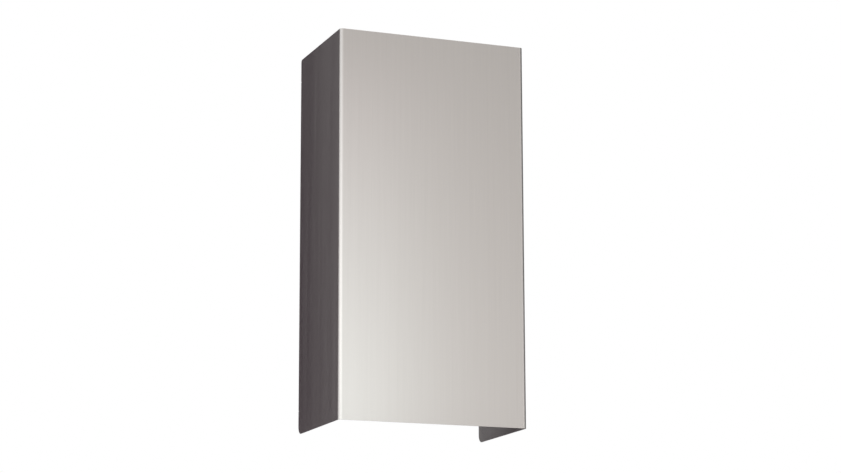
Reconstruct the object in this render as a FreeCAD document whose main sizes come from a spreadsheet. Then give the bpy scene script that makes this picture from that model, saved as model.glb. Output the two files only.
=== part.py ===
import FreeCAD, Part
import math
import os
from types import SimpleNamespace

import Sketcher
from FreeCAD import Vector

# Cooker hood chimney section, folded from one stainless steel sheet.
# The front panel faces -Y, the open back lies on the wall plane at +Y, and +Z is up.
# The origin is the middle of the lower rim.

NODE = "chimney_section"

# Driving sizes in millimetres
SIZES = {
    "section_height": 500.0,
    "section_width": 252.0,
    "section_depth": 160.0,
    "sheet_thickness": 0.8,
    "bend_radius": 3.0,
    "flange_width": 14.0,
    "flange_setback": 30.0,
    "end_clearance": 3.1,
    "relief_gap": 1.0,
    "relief_depth": 1.0,
    "lower_corner_radius": 10.0,
    "upper_corner_radius": 4.0,
    "flange_corner_radius": 4.0,
    "screw_hole_diameter": 4.5,
    "screw_from_flange_end": 20.0,
}
size = SimpleNamespace(**SIZES)

# Places worked out from the driving sizes, once as numbers and once as bound expressions
outer_radius = size.bend_radius + size.sheet_thickness
half_width = size.section_width / 2
half_depth = size.section_depth / 2
end_back = half_depth - size.end_clearance
flange_bottom = size.flange_setback + size.relief_gap
flange_top = size.section_height - flange_bottom
strip_front = half_depth - outer_radius - size.relief_depth

OUTER_RADIUS = "(Sizes.bend_radius + Sizes.sheet_thickness)"
HALF_WIDTH = "Sizes.section_width / 2"
HALF_DEPTH = "Sizes.section_depth / 2"
END_BACK = f"{HALF_DEPTH} - Sizes.end_clearance"
FLANGE_BOTTOM = "(Sizes.flange_setback + Sizes.relief_gap)"
STRIP_FRONT = f"{HALF_DEPTH} - {OUTER_RADIUS} - Sizes.relief_depth"
SCREW_LOW = f"{FLANGE_BOTTOM} + Sizes.screw_from_flange_end"
SCREW_X = f"{HALF_WIDTH} - ({OUTER_RADIUS} + Sizes.flange_width) / 2"

# Sketch numbering: the points of an edge, and the origin as an edge and a point
START, END, CENTRE = range(1, 4)
ORIGIN = (-1, START)

# How close an edge's middle lies to the place where it is looked for
NEAR = 1e-4


def size_sheet(doc):
    """Fills the sheet that every sketch and feature takes its sizes from."""
    sheet = doc.addObject("Spreadsheet::Sheet", "Sizes")
    for row, (alias, value) in enumerate(SIZES.items(), 1):
        sheet.set(f"A{row}", alias)
        sheet.set(f"B{row}", str(value))
        sheet.setAlias(f"B{row}", alias)
    doc.recompute()


def origin_plane(body, role):
    """Finds one of the body's own origin planes."""
    return next(item for item in body.Origin.OriginFeatures if item.Role == role)


def plane_sketch(body, name, role, offset="0"):
    """Starts a sketch on an origin plane, moved along the plane's normal by an expression."""
    sketch = body.newObject("Sketcher::SketchObject", name)
    sketch.AttachmentSupport = (origin_plane(body, role), [""])
    sketch.MapMode = "FlatFace"
    sketch.setExpression("AttachmentOffset.Base.z", offset)
    return sketch


def join(sketch, kind, *places):
    """Adds a constraint that has no size of its own."""
    sketch.addConstraint(Sketcher.Constraint(kind, *places))


def drive(sketch, name, expression, kind, *places):
    """Adds a named size to a sketch and binds it to the sheet."""
    value = float(sketch.evalExpression(expression))
    number = sketch.addConstraint(Sketcher.Constraint(kind, *places, value))
    sketch.renameConstraint(number, name)
    sketch.setExpression(f"Constraints.{name}", expression)


def line(sketch, start, end):
    """Draws a straight edge between two (x, y) points of the sketch."""
    return sketch.addGeometry(Part.LineSegment(Vector(*start, 0), Vector(*end, 0)))


def bent_strip(sketch, corner_y, way, end_x, end_y):
    """Draws an L of sheet round one bend on the left of the part and returns its two outer legs.

    The outer corner is at corner_y. The leg along X ends at end_x, and the leg along Y leaves the
    corner in the direction of way (+1 or -1) and ends at end_y.
    """
    left = -half_width
    centre = Vector(left + outer_radius, corner_y + way * outer_radius, 0)
    turn = (math.pi, 1.5 * math.pi) if way > 0 else (0.5 * math.pi, math.pi)
    bend_at_x, bend_at_y = (END, START) if way > 0 else (START, END)
    faces = []
    for depth in (0.0, size.sheet_thickness):
        face_x = left + depth
        face_y = corner_y + way * depth
        circle = Part.Circle(centre, Vector(0, 0, 1), outer_radius - depth)
        along_x = line(sketch, (end_x, face_y), (centre.x, face_y))
        along_y = line(sketch, (face_x, centre.y), (face_x, end_y))
        bend = sketch.addGeometry(Part.ArcOfCircle(circle, *turn))
        join(sketch, "Tangent", along_x, END, bend, bend_at_x)
        join(sketch, "Tangent", along_y, START, bend, bend_at_y)
        join(sketch, "Horizontal", along_x)
        join(sketch, "Vertical", along_y)
        faces.append((along_x, along_y, bend))
    (outer_x, outer_y, outer_bend), (inner_x, inner_y, inner_bend) = faces
    cut_x = line(sketch, (end_x, corner_y), (end_x, corner_y + way * size.sheet_thickness))
    cut_y = line(sketch, (left, end_y), (left + size.sheet_thickness, end_y))
    join(sketch, "Coincident", outer_bend, CENTRE, inner_bend, CENTRE)
    join(sketch, "Coincident", outer_x, START, cut_x, START)
    join(sketch, "Coincident", inner_x, START, cut_x, END)
    join(sketch, "Coincident", outer_y, END, cut_y, START)
    join(sketch, "Coincident", inner_y, END, cut_y, END)
    join(sketch, "Vertical", cut_x)
    join(sketch, "Horizontal", cut_y)
    drive(sketch, "thickness", "Sizes.sheet_thickness", "DistanceX", cut_y, START, cut_y, END)
    drive(sketch, "bend_radius", "Sizes.bend_radius", "Radius", inner_bend)
    drive(sketch, "half_width", HALF_WIDTH, "DistanceX", outer_y, END, *ORIGIN)
    return outer_x, outer_y


def pad(body, name, sketch, length):
    """Raises a sketch along its normal by an expression."""
    feature = body.newObject("PartDesign::Pad", name)
    feature.Profile = sketch
    feature.setExpression("Length", length)
    return feature


def half_channel(body):
    """Left half of the front panel, the front bend and the left side, which stops clear of the wall."""
    sketch = plane_sketch(body, "ChannelProfile", "XY_Plane")
    front, side = bent_strip(sketch, -half_depth, 1, 0.0, end_back)
    join(sketch, "Vertical", front, START, *ORIGIN)
    drive(sketch, "front", HALF_DEPTH, "DistanceY", front, START, *ORIGIN)
    drive(sketch, "back", END_BACK, "DistanceY", *ORIGIN, side, END)
    return pad(body, "Channel", sketch, "Sizes.section_height")


def flange_notch(body):
    """Takes the side's rear strip away between the two set-backs, where the flange is bent in."""
    sketch = plane_sketch(body, "NotchProfile", "YZ_Plane")
    low = size.flange_setback
    high = size.section_height - size.flange_setback
    corners = [(strip_front, low), (end_back, low), (end_back, high), (strip_front, high)]
    edges = [line(sketch, a, b) for a, b in zip(corners, corners[1:] + corners[:1])]
    for edge, following in zip(edges, edges[1:] + edges[:1]):
        join(sketch, "Coincident", edge, END, following, START)
    bottom, back, top, front = edges
    for edge in (bottom, top):
        join(sketch, "Horizontal", edge)
    for edge in (back, front):
        join(sketch, "Vertical", edge)
    drive(sketch, "front", STRIP_FRONT, "DistanceX", *ORIGIN, front, START)
    drive(sketch, "back", END_BACK, "DistanceX", *ORIGIN, back, START)
    drive(sketch, "low", "Sizes.flange_setback", "DistanceY", *ORIGIN, bottom, START)
    drive(sketch, "high", "Sizes.section_height - Sizes.flange_setback", "DistanceY", *ORIGIN, top, START)
    notch = body.newObject("PartDesign::Pocket", "FlangeNotch")
    notch.Profile = sketch
    notch.Type = "ThroughAll"
    return notch


def rear_flange(body):
    """Flange bent inwards on the wall plane, a relief gap clear of the side's straight ends."""
    sketch = plane_sketch(body, "FlangeProfile", "XY_Plane", FLANGE_BOTTOM)
    flange, side = bent_strip(sketch, half_depth, -1, size.flange_width - half_width, strip_front)
    drive(sketch, "wall", HALF_DEPTH, "DistanceY", *ORIGIN, flange, START)
    drive(sketch, "side_end", STRIP_FRONT, "DistanceY", *ORIGIN, side, END)
    drive(sketch, "flange_width", "Sizes.flange_width", "DistanceX", side, END, flange, START)
    return pad(body, "Flange", sketch, f"Sizes.section_height - 2 * {FLANGE_BOTTOM}")


def screw_holes(body, doc):
    """Two screw holes in the middle of the flange's flat, one near each of its ends."""
    sketch = plane_sketch(body, "ScrewPlaces", "XZ_Plane", f"Sizes.sheet_thickness - {HALF_DEPTH}")
    x = (outer_radius + size.flange_width) / 2 - half_width
    places = {
        "low": (flange_bottom + size.screw_from_flange_end, SCREW_LOW),
        "high": (flange_top - size.screw_from_flange_end, f"Sizes.section_height - ({SCREW_LOW})"),
    }
    for name, (z, expression) in places.items():
        circle = Part.Circle(Vector(x, z, 0), Vector(0, 0, 1), size.screw_hole_diameter / 2)
        number = sketch.addGeometry(circle)
        drive(sketch, f"{name}_diameter", "Sizes.screw_hole_diameter", "Diameter", number)
        drive(sketch, f"{name}_x", SCREW_X, "DistanceX", number, CENTRE, *ORIGIN)
        drive(sketch, f"{name}_z", expression, "DistanceY", *ORIGIN, number, CENTRE)
    doc.recompute()
    holes = body.newObject("PartDesign::Hole", "ScrewHoles")
    holes.Profile = sketch
    holes.DepthType = "ThroughAll"
    holes.setExpression("Diameter", "Sizes.screw_hole_diameter")
    return holes


def edge_names(shape, places):
    """Names of the edges whose middles lie at the given places."""
    names = []
    for place in places:
        found = [
            f"Edge{number}"
            for number, edge in enumerate(shape.Edges, 1)
            if edge.CenterOfMass.distanceToPoint(place) < NEAR
        ]
        if len(found) != 1:
            raise RuntimeError(f"{len(found)} edges at {place}")
        names += found
    return names


def round_corners(body, name, base, radius, places):
    """Rounds the sheet's corners at the given places."""
    fillet = body.newObject("PartDesign::Fillet", name)
    fillet.Base = (base, edge_names(base.Shape, places))
    fillet.setExpression("Radius", radius)
    return fillet


def must_change(doc, before, feature, way):
    """Recomputes and stops if a feature didn't add (+1) or remove (-1) material."""
    doc.recompute()
    if way * (feature.Shape.Volume - before.Shape.Volume) <= 0:
        raise RuntimeError(f"{feature.Name} left the solid as it was")
    return feature


def chimney_section(doc):
    """Left half of the folded sheet, then its mirror image."""
    body = doc.addObject("PartDesign::Body", "ChimneySection")
    body.Label = NODE
    channel = half_channel(body)
    doc.recompute()
    notch = must_change(doc, channel, flange_notch(body), -1)
    flange = must_change(doc, notch, rear_flange(body), 1)
    holes = must_change(doc, flange, screw_holes(body, doc), -1)

    middle_of_sheet = size.sheet_thickness / 2
    lower_place = Vector(middle_of_sheet - half_width, end_back, 0)
    lower = round_corners(body, "LowerCorner", holes, "Sizes.lower_corner_radius", [lower_place])
    must_change(doc, holes, lower, -1)
    upper_place = lower_place + Vector(0, 0, size.section_height)
    upper = round_corners(body, "UpperCorner", lower, "Sizes.upper_corner_radius", [upper_place])
    must_change(doc, lower, upper, -1)

    flange_places = [
        Vector(size.flange_width - half_width, half_depth - middle_of_sheet, z)
        for z in (flange_bottom, flange_top)
    ]
    half = round_corners(body, "FlangeCorners", upper, "Sizes.flange_corner_radius", flange_places)
    must_change(doc, upper, half, -1)

    whole = body.newObject("PartDesign::Mirrored", "RightHalf")
    whole.TransformMode = "Whole shape"
    whole.MirrorPlane = (origin_plane(body, "YZ_Plane"), [""])
    whole.Refine = True
    body.Tip = whole
    must_change(doc, half, whole, 1)
    return body


def main():
    doc = FreeCAD.newDocument("CookerHoodChimneySection")
    size_sheet(doc)
    body = chimney_section(doc)
    failed = [item.Name for item in doc.Objects if {"Invalid", "Error"} & set(item.State)]
    if failed:
        raise RuntimeError(f"failed objects: {failed}")
    if body.Shape.isNull() or not body.Shape.isValid() or len(body.Shape.Solids) != 1:
        raise RuntimeError(f"{body.Label} is not one valid solid")
    os.makedirs("parts", exist_ok=True)
    body.Shape.exportStep(f"parts/{body.Label}.step")
    box = body.Shape.BoundBox
    print(f"{body.Label}: {box.XLength:.1f} x {box.YLength:.1f} x {box.ZLength:.1f} mm,", end=" ")
    print(f"{body.Shape.Volume:.0f} mm3, {len(body.Shape.Faces)} faces")


main()
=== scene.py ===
import math

import bmesh
import bpy
from mathutils import Matrix, Vector


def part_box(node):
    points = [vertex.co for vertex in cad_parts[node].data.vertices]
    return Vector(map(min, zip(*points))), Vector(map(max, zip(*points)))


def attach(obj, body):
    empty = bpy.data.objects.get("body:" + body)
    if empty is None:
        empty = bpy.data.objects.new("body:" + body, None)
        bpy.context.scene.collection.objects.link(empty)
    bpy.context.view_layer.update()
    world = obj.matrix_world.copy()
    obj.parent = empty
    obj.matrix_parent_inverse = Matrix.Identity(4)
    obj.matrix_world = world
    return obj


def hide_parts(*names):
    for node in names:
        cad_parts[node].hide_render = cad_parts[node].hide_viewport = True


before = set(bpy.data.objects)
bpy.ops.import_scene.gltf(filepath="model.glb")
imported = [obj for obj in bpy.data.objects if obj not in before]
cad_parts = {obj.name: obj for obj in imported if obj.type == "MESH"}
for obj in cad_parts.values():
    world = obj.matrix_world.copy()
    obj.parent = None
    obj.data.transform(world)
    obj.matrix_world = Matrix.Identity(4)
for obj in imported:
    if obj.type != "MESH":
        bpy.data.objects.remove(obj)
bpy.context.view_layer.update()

# Cooker hood chimney section: one stainless steel sheet, folded into a U with a flange at each rear edge.
# The front panel faces -Y, the wall is at +Y, and +Z is up. Lengths are in metres.

NODE = "chimney_section"

# Overall sizes, from the frame
LOW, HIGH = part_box(NODE)
HEIGHT = HIGH.z - LOW.z
HALF_WIDTH = HIGH.x
FRONT = LOW.y
BACK = HIGH.y

# Sizes of the sheet and its details
THICKNESS = 0.0008
BEND_RADIUS = 0.0030
FLANGE_WIDTH = 0.014
FLANGE_SETBACK = 0.030
END_CLEARANCE = 0.0031
RELIEF_GAP = 0.001
RELIEF_DEPTH = 0.001
LOWER_CORNER = 0.010
UPPER_CORNER = 0.004
FLANGE_CORNER = 0.004
SCREW_RADIUS = 0.00225
SCREW_FROM_END = 0.020
EDGE_ROUND = 0.00012

# Steps of a quarter bend, a sheet corner, a screw hole and a rounded edge
BEND_STEPS = 16
CORNER_STEPS = 10
HOLE_STEPS = 40
EDGE_STEPS = 2

# Distance within which points are welded, and the least turn at a cut edge
WELD = THICKNESS / 100
CUT_EDGE_TURN = math.radians(60)

# Places worked out from the sizes
QUARTER = math.pi / 2
OUTER_RADIUS = BEND_RADIUS + THICKNESS
BEND_X = HALF_WIDTH - OUTER_RADIUS
FRONT_BEND_Y = FRONT + OUTER_RADIUS
REAR_BEND_Y = BACK - OUTER_RADIUS
END_Y = BACK - END_CLEARANCE
STRIP_Y = REAR_BEND_Y - RELIEF_DEPTH
FLANGE_LOW = FLANGE_SETBACK + RELIEF_GAP
FLANGE_HIGH = HEIGHT - FLANGE_LOW
FLANGE_EDGE = HALF_WIDTH - FLANGE_WIDTH
SCREW_X = (BEND_X + FLANGE_EDGE) / 2

# Places across the unfolded sheet, from the middle of the front panel
BEND_LENGTH = OUTER_RADIUS * QUARTER
SIDE_START = BEND_X + BEND_LENGTH
SIDE_END = SIDE_START + REAR_BEND_Y - FRONT_BEND_Y
FLANGE_START = SIDE_END + BEND_LENGTH

# Texture map that holds the unfolded place
GRAIN_MAP = "blank"


# The folded sheet

def arc(centre, radius, start, end, steps):
    """Points of an arc in a plane, both ends included, with angles in radians."""
    turn = (end - start) / steps
    angles = [start + turn * step for step in range(steps + 1)]
    return [(centre[0] + radius * math.cos(a), centre[1] + radius * math.sin(a)) for a in angles]


class Blank:
    """The sheet's outer surface, panel by panel, with its unfolded place as a texture map in metres."""

    def __init__(self):
        self.mesh = bmesh.new()
        self.map = self.mesh.loops.layers.uv.new(GRAIN_MAP)

    def unfold(self, faces, along):
        """Maps flat faces: along gives a point's place across the unfolded sheet."""
        for face in faces:
            for corner in face.loops:
                place = corner.vert.co
                corner[self.map].uv = (along(place), place.z)

    def panel(self, points, along):
        """A panel with one outline."""
        face = self.mesh.faces.new([self.mesh.verts.new(point) for point in points])
        self.unfold([face], along)

    def pierced_panel(self, loops, along):
        """A panel with holes: the first loop is its outline."""
        edges = []
        for points in loops:
            verts = [self.mesh.verts.new(point) for point in points]
            edges += [self.mesh.edges.new((a, b)) for a, b in zip(verts, verts[1:] + verts[:1])]
        filled = bmesh.ops.triangle_fill(self.mesh, use_beauty=True, edges=edges)
        self.unfold([item for item in filled["geom"] if isinstance(item, bmesh.types.BMFace)], along)

    def bend(self, section, low, high, first, step):
        """A bend through the points of its section, from low to high, unfolded from first in equal steps."""
        for number, (a, b) in enumerate(zip(section, section[1:])):
            corners = [(*a, low), (*b, low), (*b, high), (*a, high)]
            face = self.mesh.faces.new([self.mesh.verts.new(corner) for corner in corners])
            start = first + step * number
            end = first + step * (number + 1)
            for corner, place in zip(face.loops, (start, end, end, start)):
                corner[self.map].uv = (place, corner.vert.co.z)

    def finish(self, name):
        """Welds the panels, turns them outwards and makes the mesh."""
        bmesh.ops.remove_doubles(self.mesh, verts=self.mesh.verts, dist=WELD)
        bmesh.ops.recalc_face_normals(self.mesh, faces=self.mesh.faces)
        largest = max(self.mesh.faces, key=lambda face: face.calc_area())
        if largest.normal.y > 0:
            bmesh.ops.reverse_faces(self.mesh, faces=self.mesh.faces)
        for face in self.mesh.faces:
            face.smooth = True
        mesh = bpy.data.meshes.new(name)
        self.mesh.to_mesh(mesh)
        self.mesh.free()
        return mesh


def side_outline():
    """The side's (y, z) outline: rounded rear corners, and relief slots where the flange starts."""
    top = HEIGHT
    low_corner = arc((END_Y - LOWER_CORNER, LOWER_CORNER), LOWER_CORNER, -QUARTER, 0, CORNER_STEPS)
    high_corner = arc((END_Y - UPPER_CORNER, top - UPPER_CORNER), UPPER_CORNER, 0, QUARTER, CORNER_STEPS)
    low_slot = [(END_Y, FLANGE_SETBACK), (STRIP_Y, FLANGE_SETBACK), (STRIP_Y, FLANGE_LOW)]
    high_slot = [(y, top - z) for y, z in reversed(low_slot)]
    bend = [(REAR_BEND_Y, FLANGE_LOW), (REAR_BEND_Y, FLANGE_HIGH)]
    front = [(FRONT_BEND_Y, top), (FRONT_BEND_Y, 0.0)]
    return low_corner + low_slot + bend + high_slot + high_corner + front


def flange_loops():
    """The flange's (x, z) outline with rounded free corners, and its two screw holes."""
    inner = FLANGE_EDGE + FLANGE_CORNER
    low_corner = arc((inner, FLANGE_LOW + FLANGE_CORNER), FLANGE_CORNER, math.pi, 3 * QUARTER, CORNER_STEPS)
    high_corner = arc((inner, FLANGE_HIGH - FLANGE_CORNER), FLANGE_CORNER, QUARTER, math.pi, CORNER_STEPS)
    outline = low_corner + [(BEND_X, FLANGE_LOW), (BEND_X, FLANGE_HIGH)] + high_corner
    holes = []
    for z in (FLANGE_LOW + SCREW_FROM_END, FLANGE_HIGH - SCREW_FROM_END):
        holes.append(arc((SCREW_X, z), SCREW_RADIUS, 0, 4 * QUARTER, HOLE_STEPS)[:-1])
    return [outline] + holes


def folded_sheet():
    """The whole section: front, and a bend, side, rear bend and flange on each hand."""
    blank = Blank()
    front = [(-BEND_X, FRONT, 0), (BEND_X, FRONT, 0), (BEND_X, FRONT, HEIGHT), (-BEND_X, FRONT, HEIGHT)]
    blank.panel(front, lambda place: place.x)
    step = BEND_LENGTH / BEND_STEPS
    front_bend = arc((BEND_X, FRONT_BEND_Y), OUTER_RADIUS, -QUARTER, 0, BEND_STEPS)
    rear_bend = arc((BEND_X, REAR_BEND_Y), OUTER_RADIUS, 0, QUARTER, BEND_STEPS)
    for hand in (-1, 1):
        blank.bend([(hand * x, y) for x, y in front_bend], 0, HEIGHT, hand * BEND_X, hand * step)
        side = [(hand * HALF_WIDTH, y, z) for y, z in side_outline()]
        blank.panel(side, lambda place: hand * (SIDE_START + place.y - FRONT_BEND_Y))
        rear = [(hand * x, y) for x, y in rear_bend]
        blank.bend(rear, FLANGE_LOW, FLANGE_HIGH, hand * SIDE_END, hand * step)
        loops = [[(hand * x, BACK, z) for x, z in loop] for loop in flange_loops()]
        blank.pierced_panel(loops, lambda place: hand * (FLANGE_START + BEND_X - abs(place.x)))
    sheet = bpy.data.objects.new("folded_sheet", blank.finish("folded_sheet"))
    bpy.context.scene.collection.objects.link(sheet)
    return sheet


def thicken(sheet):
    """Gives the surface its thickness inwards, and takes the sharpness off its cut edges."""
    solid = sheet.modifiers.new("thickness", "SOLIDIFY")
    solid.thickness = THICKNESS
    solid.offset = -1
    solid.use_even_offset = True
    solid.material_offset = 1
    solid.material_offset_rim = 2
    deburr = sheet.modifiers.new("deburred_edges", "BEVEL")
    deburr.width = EDGE_ROUND
    deburr.segments = EDGE_STEPS
    deburr.limit_method = "ANGLE"
    deburr.angle_limit = CUT_EDGE_TURN
    flat = sheet.modifiers.new("flat_panels", "WEIGHTED_NORMAL")
    flat.mode = "FACE_AREA"


# Materials

# Colours of each finish, darker and lighter, and its range of roughness
BRUSHED_COLOURS = ((0.520, 0.498, 0.480), (0.560, 0.537, 0.518))
BRUSHED_ROUGHNESS = (0.28, 0.36)
ROLLED_COLOURS = ((0.500, 0.480, 0.466), (0.540, 0.520, 0.506))
ROLLED_ROUGHNESS = (0.36, 0.42)
CUT_COLOURS = ((0.50, 0.49, 0.48), (0.58, 0.57, 0.56))
CUT_ROUGHNESS = (0.30, 0.42)

# Grain: lines per metre across and along the sheet, and levels of detail
FINE_LINES = (2600, 9, 3)
BROAD_LINES = (260, 2.2, 2)
WIDE_BANDS = (80, 0.8, 3)
ROLLED_LINES = (900, 40, 3)

# Specks per metre on a cut edge
CUT_SPECKS = 4000.0

# Share of the broad lines beside the fine ones, and of the wide bands beside both
BROAD_SHARE = 0.35
WIDE_SHARE = 0.45

# Depth of the grain
GRAIN_DEPTH = 0.00002

# Middle part of a noise's range, which holds most of it
NOISE_LOW = 0.3
NOISE_HIGH = 0.7

# Painted highlight along a bend, a band of brighter colour: its colour, and its reach either side of the
# middle before and after it fades
PAINTED_HIGHLIGHT_COLOUR = (0.61, 0.59, 0.57)
PAINTED_HIGHLIGHT_HALF = 0.0020
PAINTED_HIGHLIGHT_EDGE = 0.0048


def feed(tree, made, inputs):
    """Links each input that is given a socket, and sets the others."""
    for name, value in dict(inputs).items():
        if isinstance(value, bpy.types.NodeSocket):
            tree.links.new(value, made.inputs[name])
        else:
            made.inputs[name].default_value = value


def node(tree, kind, inputs=(), **settings):
    """Adds a node with its settings and inputs."""
    made = tree.nodes.new(kind)
    for name, value in settings.items():
        setattr(made, name, value)
    feed(tree, made, inputs)
    return made


def maths(tree, operation, *values):
    """The result of an operation on numbers or sockets."""
    return node(tree, "ShaderNodeMath", enumerate(values), operation=operation).outputs[0]


def mix_values(tree, factor, first, second):
    """Mixes two values by a factor."""
    return node(tree, "ShaderNodeMix", {"Factor": factor, "A": first, "B": second}).outputs["Result"]


def mix_colours(tree, factor, first, second):
    """Mixes two colours by a factor: each is a socket, or red, green and blue."""
    ends = [item if isinstance(item, bpy.types.NodeSocket) else (*item, 1) for item in (first, second)]
    inputs = {"Factor": factor, "A": ends[0], "B": ends[1]}
    return node(tree, "ShaderNodeMix", inputs, data_type="RGBA").outputs["Result"]


def new_material(name):
    """A new material, with its node tree and its shader."""
    material = bpy.data.materials.new(name)
    material.use_nodes = True
    return material, material.node_tree, material.node_tree.nodes["Principled BSDF"]


def unfolded_place(tree):
    """The place on the unfolded sheet, in metres across and up."""
    return node(tree, "ShaderNodeUVMap", uv_map=GRAIN_MAP).outputs["UV"]


def streaks(tree, across, along, detail):
    """Noise drawn out up the sheet: the number of lines per metre across and along the grain."""
    stretch = {"Vector": unfolded_place(tree), "Scale": (across, along, 1)}
    stretched = node(tree, "ShaderNodeMapping", stretch).outputs["Vector"]
    inputs = {"Vector": stretched, "Scale": 1.0, "Detail": detail, "Roughness": 0.6}
    return node(tree, "ShaderNodeTexNoise", inputs).outputs["Fac"]


def spread(tree, value, low, high):
    """Brings the middle of a noise's range to low and high."""
    ends = {"Value": value, "From Min": NOISE_LOW, "From Max": NOISE_HIGH, "To Min": low, "To Max": high}
    return node(tree, "ShaderNodeMapRange", ends).outputs["Result"]


def tint(tree, value, dark, light):
    """Mixes two colours by a noise."""
    return mix_colours(tree, spread(tree, value, 0, 1), dark, light)


def ridges(tree, height, strength):
    """The grain's relief."""
    inputs = {"Height": height, "Strength": strength, "Distance": GRAIN_DEPTH}
    return node(tree, "ShaderNodeBump", inputs).outputs["Normal"]


def painted_bend_highlight(tree):
    """1 along the bends, where a brighter colour is painted as a highlight, and 0 on the panels."""
    across = node(tree, "ShaderNodeSeparateXYZ", {0: unfolded_place(tree)}).outputs["X"]
    out = maths(tree, "ABSOLUTE", across)
    away = []
    for bend_start in (BEND_X, SIDE_END):
        from_middle = maths(tree, "SUBTRACT", out, bend_start + BEND_LENGTH / 2)
        away.append(maths(tree, "ABSOLUTE", from_middle))
    fade = {
        "Value": maths(tree, "MINIMUM", *away),
        "From Min": PAINTED_HIGHLIGHT_HALF,
        "From Max": PAINTED_HIGHLIGHT_EDGE,
        "To Min": 1.0,
        "To Max": 0.0,
    }
    return node(tree, "ShaderNodeMapRange", fade, interpolation_type="SMOOTHSTEP").outputs["Result"]


def brushed_steel():
    """The outside: long fine brush lines up the sheet, and a painted highlight along the bends."""
    material, tree, shader = new_material("brushed_steel")
    fine = streaks(tree, *FINE_LINES)
    lines = mix_values(tree, BROAD_SHARE, fine, streaks(tree, *BROAD_LINES))
    uneven = mix_values(tree, WIDE_SHARE, lines, streaks(tree, *WIDE_BANDS))
    plain = tint(tree, lines, *BRUSHED_COLOURS)
    inputs = {
        # A brighter colour along the bends: a painted highlight
        "Base Color": mix_colours(tree, painted_bend_highlight(tree), plain, PAINTED_HIGHLIGHT_COLOUR),
        "Metallic": 1.0,
        "Roughness": spread(tree, uneven, *BRUSHED_ROUGHNESS),
        "Anisotropic": 0.6,
        "Tangent": node(tree, "ShaderNodeTangent", direction_type="UV_MAP", uv_map=GRAIN_MAP).outputs[0],
        "Normal": ridges(tree, fine, strength=0.12),
    }
    feed(tree, shader, inputs)
    return material


def mill_steel():
    """The inside: the sheet's plain rolled finish."""
    material, tree, shader = new_material("mill_steel")
    rolled = streaks(tree, *ROLLED_LINES)
    inputs = {
        "Base Color": tint(tree, rolled, *ROLLED_COLOURS),
        "Metallic": 1.0,
        "Roughness": spread(tree, rolled, *ROLLED_ROUGHNESS),
        "Anisotropic": 0.3,
        "Normal": ridges(tree, rolled, strength=0.08),
    }
    feed(tree, shader, inputs)
    return material


def cut_steel():
    """The sheared edges: bright, with fine specks."""
    material, tree, shader = new_material("cut_steel")
    place = node(tree, "ShaderNodeTexCoord").outputs["Object"]
    noise = node(tree, "ShaderNodeTexNoise", {"Vector": place, "Scale": CUT_SPECKS, "Detail": 2.0})
    specks = noise.outputs["Fac"]
    inputs = {
        "Base Color": tint(tree, specks, *CUT_COLOURS),
        "Metallic": 1.0,
        "Roughness": spread(tree, specks, *CUT_ROUGHNESS),
    }
    feed(tree, shader, inputs)
    return material


# Stage

# Level of the light that falls on what isn't mirrored
AMBIENT = 0.7

# Floor: its distance below the part, its width and its grey level
FLOOR_DROP = 0.0006
FLOOR_SIZE = 30.0
FLOOR_LEVEL = 0.86

# Distances from the part at which the floor starts to turn white, and is white
FADE_START = 0.5
FADE_END = 2.0

# Directions that a card faces
TO_FRONT = (0, -1, 0)
TO_BACK = (0, 1, 0)
TO_LEFT = (-1, 0, 0)


def grey(level):
    """A grey at a level."""
    return (level, level, level)


def turned(centre, facing):
    """The place of a thing at centre whose own Z axis points along facing."""
    return Matrix.Translation(centre) @ Vector(facing).to_track_quat("Z", "Y").to_matrix().to_4x4()


def seen_as_background(tree):
    """1 for rays from the camera, and for those that metal and glass send on."""
    path = node(tree, "ShaderNodeLightPath").outputs
    shown = maths(tree, "MAXIMUM", path["Is Camera Ray"], path["Is Glossy Ray"])
    return maths(tree, "MAXIMUM", shown, path["Is Transmission Ray"])


def white_world():
    """White where it is seen or mirrored, and a plain level of light elsewhere."""
    world = bpy.data.worlds.new("studio")
    world.use_nodes = True
    tree = world.node_tree
    level = mix_values(tree, seen_as_background(tree), AMBIENT, 1.0)
    feed(tree, tree.nodes["Background"], {"Color": (1, 1, 1, 1), "Strength": level})
    bpy.context.scene.world = world


def plane(name, centre, facing, width, height):
    """A flat sheet on the stage, its face turned along facing, with its height upwards where it can be."""
    across = width / 2
    up = height / 2
    corners = [(-across, -up, 0), (across, -up, 0), (across, up, 0), (-across, up, 0)]
    mesh = bpy.data.meshes.new(name)
    mesh.from_pydata(corners, [], [(0, 1, 2, 3)])
    made = bpy.data.objects.new(name, mesh)
    made.matrix_world = turned(centre, facing)
    bpy.context.scene.collection.objects.link(made)
    return made


def pale_floor():
    """A pale floor with the object's shadow, white in the distance and open to a view from below."""
    floor = plane("floor", (0, 0, LOW.z - FLOOR_DROP), (0, 0, 1), FLOOR_SIZE, FLOOR_SIZE)
    material, tree, shader = new_material("pale_floor")
    feed(tree, shader, {"Base Color": (*grey(FLOOR_LEVEL), 1), "Roughness": 0.9, "Specular IOR Level": 0.0})
    white = node(tree, "ShaderNodeEmission", {"Color": (1, 1, 1, 1), "Strength": 1.0})
    place = node(tree, "ShaderNodeTexCoord").outputs["Object"]
    distance = node(tree, "ShaderNodeVectorMath", {0: place}, operation="LENGTH").outputs["Value"]
    fade = {"Value": distance, "From Min": FADE_START, "From Max": FADE_END}
    far = node(tree, "ShaderNodeMapRange", fade, interpolation_type="SMOOTHSTEP").outputs["Result"]
    shown = mix_values(tree, far, 0.0, seen_as_background(tree))
    top = node(tree, "ShaderNodeMixShader", {0: shown, 1: shader.outputs[0], 2: white.outputs[0]})
    clear = node(tree, "ShaderNodeBsdfTransparent")
    below = node(tree, "ShaderNodeNewGeometry").outputs["Backfacing"]
    both = node(tree, "ShaderNodeMixShader", {0: below, 1: top.outputs[0], 2: clear.outputs[0]})
    feed(tree, tree.nodes["Material Output"], {"Surface": both.outputs[0]})
    floor.data.materials.append(material)


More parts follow.
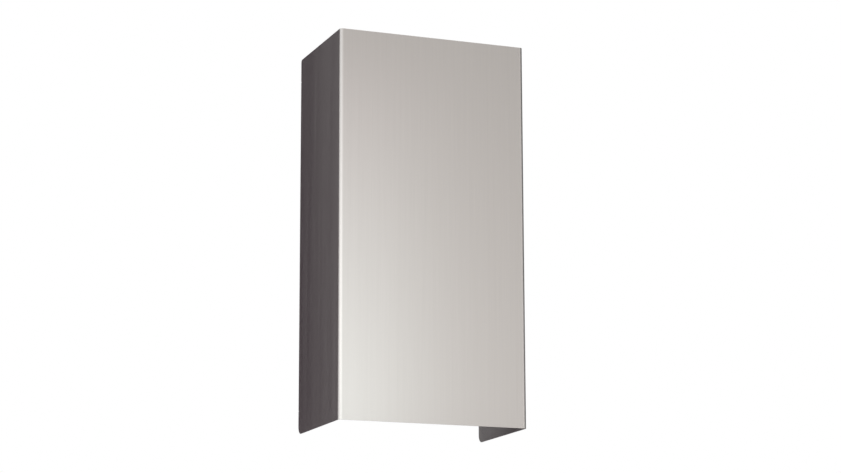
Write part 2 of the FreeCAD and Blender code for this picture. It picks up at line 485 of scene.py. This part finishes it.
def card(name, centre, facing, width, height, low, high):
    """A card that only the metal's reflections show, shaded from its lower to its upper edge."""
    made = plane(name, centre, facing, width, height)
    material, tree, shader = new_material(name)
    tree.nodes.remove(shader)
    place = node(tree, "ShaderNodeTexCoord").outputs["Object"]
    rise = node(tree, "ShaderNodeSeparateXYZ", {0: place}).outputs["Y"]
    edges = {"Value": rise, "From Min": -height / 2, "From Max": height / 2}
    share = node(tree, "ShaderNodeMapRange", edges).outputs["Result"]
    shade = mix_colours(tree, share, low, high)
    glow = node(tree, "ShaderNodeEmission", {"Color": shade, "Strength": 1.0})
    feed(tree, tree.nodes["Material Output"], {"Surface": glow.outputs[0]})
    made.data.materials.append(material)
    made.visible_camera = False
    made.visible_diffuse = False
    made.visible_shadow = False


def softbox(name, centre, target, width, height, power):
    """A rectangular lamp turned towards a point."""
    light = bpy.data.lights.new(name, "AREA")
    light.shape = "RECTANGLE"
    light.size = width
    light.size_y = height
    light.energy = power
    lamp = bpy.data.objects.new(name, light)
    lamp.matrix_world = turned(centre, Vector(centre) - Vector(target))
    lamp.visible_camera = False
    bpy.context.scene.collection.objects.link(lamp)


def studio():
    """White surroundings, with cards for the metal to mirror and a lamp overhead."""
    white_world()
    pale_floor()
    softbox("top", (0.3, -0.4, 2.4), (0, 0, HEIGHT / 2), width=1.2, height=1.2, power=12.0)
    # Mirrored in the front panel
    card("room", (1.6, -4.5, 1.2), TO_BACK, 6.0, 5.0, (1.40, 1.34, 1.32), (0.58, 0.58, 0.56))
    card("key", (-0.08, -0.60, 0.31), TO_BACK, 0.4, 0.62, (2.06, 2.18, 2.16), (1.06, 1.00, 1.00))
    # Mirrored in the left bend and in the right one
    card("left", (-1.3, -1.4, 0.65), (1.3, 1.4, -0.3), 2.6, 0.8, grey(2.25), grey(0.95))
    card("right", (2.0, 0.3, 1.1), TO_LEFT, 5.4, 2.4, grey(0.16), grey(0.16))
    # Mirrored in the left side and the inside
    card("behind_left", (-0.30, 0.25, 0.66), TO_FRONT, 0.34, 1.3, (0.04, 0.02, 0.035), (0.06, 0.05, 0.06))
    card("behind_right", (-0.4, 1.5, 0.4), TO_FRONT, 1.8, 0.8, (0.11, 0.10, 0.11), (0.11, 0.10, 0.11))


# Camera

# The picture's width and the focal length in its pixels, and the sensor in millimetres
FRAME_WIDTH = 841
FOCAL_PIXELS = 2400.0
SENSOR_WIDTH = 36.0

# The camera's place, and its turns in radians
CAMERA_PLACE = (-1.09225, -2.84218, -0.39557)
CAMERA_YAW = 0.37099
CAMERA_PITCH = 0.21038
CAMERA_ROLL = -0.00255


def photo_camera():
    """The photograph's view, from below and to the left of the front."""
    data = bpy.data.cameras.new("camera")
    data.sensor_width = SENSOR_WIDTH
    data.lens = FOCAL_PIXELS / FRAME_WIDTH * SENSOR_WIDTH
    made = bpy.data.objects.new("camera", data)
    turn = (
        Matrix.Rotation(-CAMERA_YAW, 4, "Z")
        @ Matrix.Rotation(QUARTER + CAMERA_PITCH, 4, "X")
        @ Matrix.Rotation(CAMERA_ROLL, 4, "Z")
    )
    made.matrix_world = Matrix.Translation(CAMERA_PLACE) @ turn
    bpy.context.scene.collection.objects.link(made)
    bpy.context.scene.camera = made


# Scene

sheet = folded_sheet()
thicken(sheet)
for finish in (brushed_steel(), mill_steel(), cut_steel()):
    sheet.data.materials.append(finish)
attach(sheet, "root")
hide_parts(NODE)
studio()
photo_camera()
bpy.context.scene.view_settings.view_transform = "Standard"
